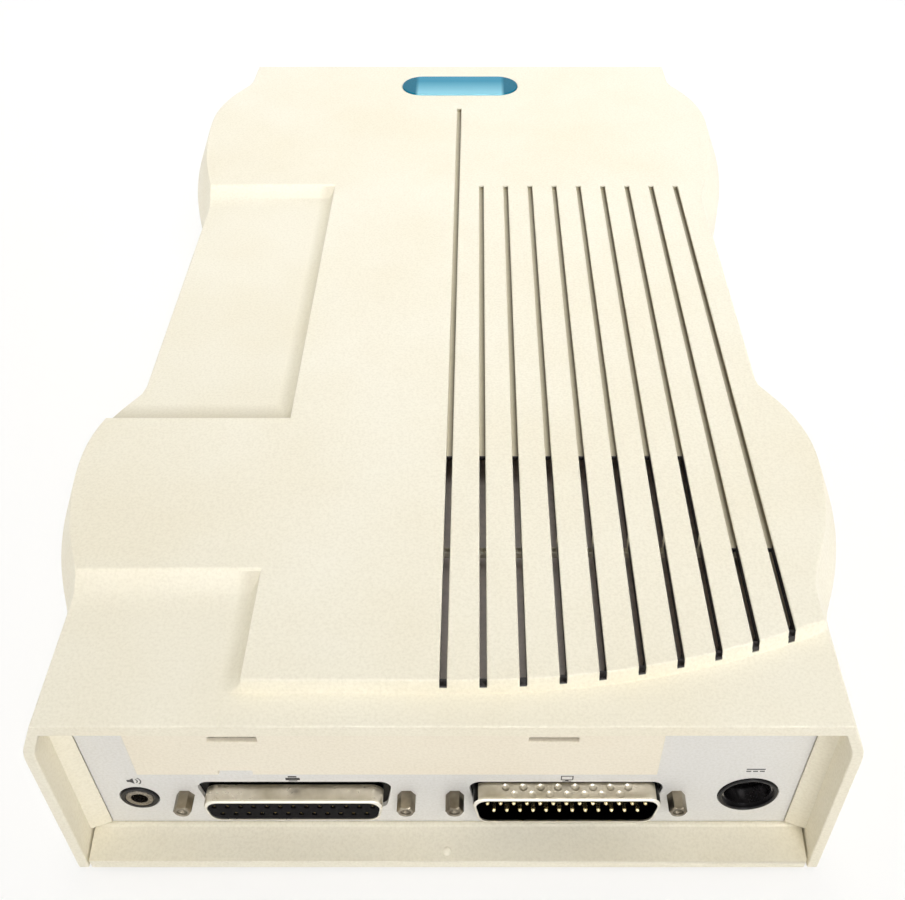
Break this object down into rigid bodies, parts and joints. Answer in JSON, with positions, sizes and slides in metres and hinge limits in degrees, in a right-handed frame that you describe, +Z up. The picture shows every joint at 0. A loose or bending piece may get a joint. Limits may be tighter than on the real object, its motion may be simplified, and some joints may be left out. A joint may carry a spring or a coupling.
{
  "type": "external disc writer",
  "caption": "Desktop optical disc writer in a lobed plastic case with ribbed vents, a motor-driven disc tray in front and a connector panel sunk in the back.",
  "frame": {"origin": "under the middle of the case, on the plane the feet stand on", "axes": "+Z up, +Y towards the disc tray, +X to the right seen from the connector panel"},
  "size_m": [0.1794, 0.277, 0.0602],
  "materials": {
    "case_ivory": "fine moulded texture",
    "plate_beige": "smooth moulded",
    "panel_grey": "satin paint",
    "badge_blue": "gloss",
    "foot_rubber": "matt",
    "screw_steel": "plated",
    "plated_shell": "tin plate",
    "bright_ring": "bright nickel",
    "pin_brass": "plated",
    "black_plastic": "moulded",
    "dark_plastic": "moulded",
    "chip_black": "moulded",
    "board_green": "solder mask",
    "capacitor_sleeve": "shrunk sleeve",
    "ribbon_grey": "flat cable",
    "lead_yellow": "insulation",
    "sheet_steel": "zinc plate",
    "motor_steel": "plated can",
    "rod_steel": "ground",
    "belt_rubber": "matt",
    "tray_plastic": "fine moulded texture",
    "white_plastic": "moulded",
    "sled_grey": "die cast",
    "light_green": "translucent",
    "lens_glass": "clear"
  },
  "bodies": {
    "case": {"top_shell": "case_ivory", "bottom_shell": "case_ivory", "badge": "badge_blue", "feet": "foot_rubber", "case_screws": "screw_steel", "rear_panel": "panel_grey", "blank_plate": "plate_beige", "socket_port_shell": "plated_shell", "socket_port_block": "black_plastic", "pin_port_shell": "plated_shell", "pin_port_block": "black_plastic", "port_pins": "pin_brass", "jackscrews": "screw_steel", "sound_socket": "black_plastic", "sound_socket_sleeve": "bright_ring", "power_socket": "black_plastic", "power_socket_shield": "bright_ring", "interface_board": "board_green", "interface_chips": "chip_black", "interface_capacitors": "capacitor_sleeve", "interface_headers": "black_plastic", "board_screws": "screw_steel", "screen_plate": "sheet_steel", "ribbon_cable": "ribbon_grey", "ribbon_plugs": "dark_plastic", "power_lead": "lead_yellow", "sound_lead": "dark_plastic", "drive_chassis": "sheet_steel", "drive_lid": "sheet_steel", "drive_screws": "screw_steel", "drive_bezel": "case_ivory", "drive_board": "board_green", "drive_chips": "chip_black", "drive_sockets": "black_plastic", "front_board": "board_green", "loader_frame": "dark_plastic", "eject_switch": "black_plastic", "volume_control": "dark_plastic", "headphone_socket": "black_plastic", "activity_light": "light_green", "loading_motor": "motor_steel", "loading_belt": "belt_rubber", "clamp_bridge": "sheet_steel"},
    "tray": {"disc_tray": "tray_plastic", "tray_front": "case_ivory"},
    "gear": {"loading_gear": "white_plastic"},
    "pulley": {"motor_pulley": "pin_brass"},
    "eject": {"eject_button": "plate_beige"},
    "volume": {"volume_wheel": "black_plastic"},
    "lift": {"lift_slider": "white_plastic"},
    "deck": {"traverse_deck": "dark_plastic", "spindle_motor": "motor_steel", "guide_rods": "rod_steel", "sled_motor": "motor_steel"},
    "table": {"turntable": "black_plastic"},
    "sled": {"optical_sled": "sled_grey", "lens": "lens_glass"},
    "screw": {"lead_screw": "rod_steel"},
    "clamp": {"clamp_puck": "white_plastic"}
  },
  "joints": [
    {"name": "tray_slide", "type": "slide", "parent": "case", "child": "tray", "axis": [0, 1, 0], "range_m": [0, 0.13]},
    {"name": "loading_gear_turn", "type": "hinge", "parent": "case", "child": "gear", "pos_m": [-0.038, 0.1115, 0.0265], "axis": [0, 0, 1], "range_deg": [-760, 10]},
    {"name": "motor_pulley_turn", "type": "hinge", "parent": "case", "child": "pulley", "pos_m": [0.012, 0.1115, 0.0247], "axis": [0, 0, 1], "range_deg": [-2900, 20]},
    {"name": "eject_press", "type": "slide", "parent": "case", "child": "eject", "axis": [0, -1, 0], "range_m": [0, 0.001], "stiffness_N_per_m": 400, "springref_m": -0.001},
    {"name": "volume_turn", "type": "hinge", "parent": "case", "child": "volume", "pos_m": [0.044, 0.1301, 0.0185], "axis": [0, 0, 1], "range_deg": [-130, 130]},
    {"name": "deck_tilt", "type": "hinge", "parent": "case", "child": "deck", "pos_m": [0, -0.0285, 0.024], "axis": [-1, 0, 0], "range_deg": [0, 2.8]},
    {"name": "lift_slide", "type": "slide", "parent": "case", "child": "lift", "axis": [1, 0, 0], "range_m": [0, 0.0241]},
    {"name": "turntable_spin", "type": "hinge", "parent": "deck", "child": "table", "pos_m": [0, 0.0635, 0.0345], "axis": [0, 0, 1], "continuous": true},
    {"name": "clamp_spin", "type": "hinge", "parent": "case", "child": "clamp", "pos_m": [0, 0.0635, 0.042], "axis": [0, 0, 1], "continuous": true},
    {"name": "sled_slide", "type": "slide", "parent": "deck", "child": "sled", "axis": [0, -1, 0], "range_m": [0, 0.035]},
    {"name": "lead_screw_turn", "type": "hinge", "parent": "deck", "child": "screw", "pos_m": [0.035, 0.0115, 0.022], "axis": [0, 1, 0], "range_deg": [-10, 4220]}
  ],
  "couplings": [
    {"joint": "loading_gear_turn", "follows": "tray_slide", "rad_per_m": -100},
    {"joint": "motor_pulley_turn", "follows": "tray_slide", "rad_per_m": -380.7},
    {"joint": "lift_slide", "follows": "deck_tilt", "m_per_rad": 0.4911},
    {"joint": "clamp_spin", "follows": "turntable_spin", "ratio": 1},
    {"joint": "lead_screw_turn", "follows": "sled_slide", "rad_per_m": 2094.4}
  ]
}
